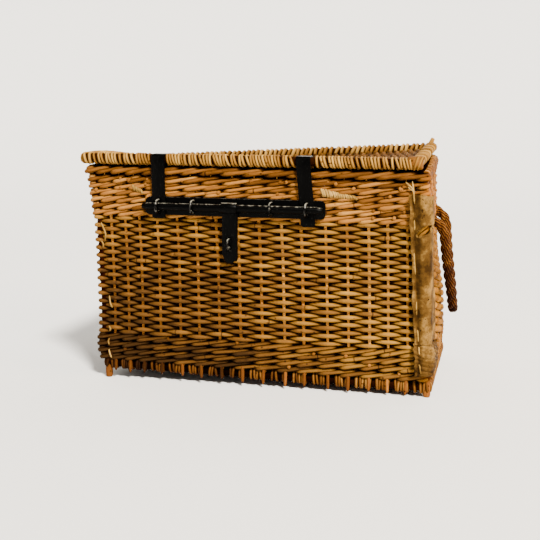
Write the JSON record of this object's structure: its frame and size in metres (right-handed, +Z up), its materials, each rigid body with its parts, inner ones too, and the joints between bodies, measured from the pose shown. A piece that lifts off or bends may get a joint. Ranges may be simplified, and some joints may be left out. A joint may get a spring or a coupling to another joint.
{
  "type": "wicker pannier",
  "caption": "Rectangular woven willow trunk with a flat lid, an iron bolt and hasp lock on its front, rope handles on the ends and a rawhide corner guard, for carrying goods.",
  "frame": {"origin": "middle of the floor under the basket's box, ropes left out", "axes": "+X along the length to the end with the rawhide corner, -Y the front with the lock, +Z up"},
  "size_m": [0.7548, 0.4222, 0.4575],
  "materials": {
    "willow": "aged, golden brown",
    "pale_willow": "aged, straw brown",
    "iron": "black paint, worn",
    "rawhide": "stiff, buff",
    "rope": "three-strand, dark brown"
  },
  "bodies": {
    "pannier": {"base_panel": "willow", "base_border": "willow", "foot_front_right": "willow", "foot_back_right": "willow", "foot_back_left": "willow", "foot_front_left": "willow", "bottom_wale": "willow", "siding": "willow", "top_wale": "willow", "body_border": "willow", "lid_panel": "pale_willow", "lid_border": "pale_willow", "lock_plate": "iron", "bolt_staple_1": "iron", "bolt_staple_2": "iron", "bolt_staple_3": "iron", "bolt_staple_4": "iron", "padlock_staple": "iron", "strap_left": "iron", "strap_right": "iron", "hinge_left": "iron", "hinge_right": "iron", "corner_hide": "rawhide", "corner_hide_foot": "rawhide", "handle_rope_right": "rope", "handle_knot_right_front": "rope", "handle_knot_right_back": "rope", "handle_rope_left": "rope", "handle_knot_left_front": "rope", "handle_knot_left_back": "rope"},
    "bolt": {"bolt_rod": "iron", "bolt_hasp": "iron"}
  },
  "joints": [
    {"name": "bolt_turn", "type": "hinge", "parent": "pannier", "child": "bolt", "pos_m": [-0.0387, -0.19794, 0.3455], "axis": [-1, 0, 0], "range_deg": [0, 165]}
  ]
}
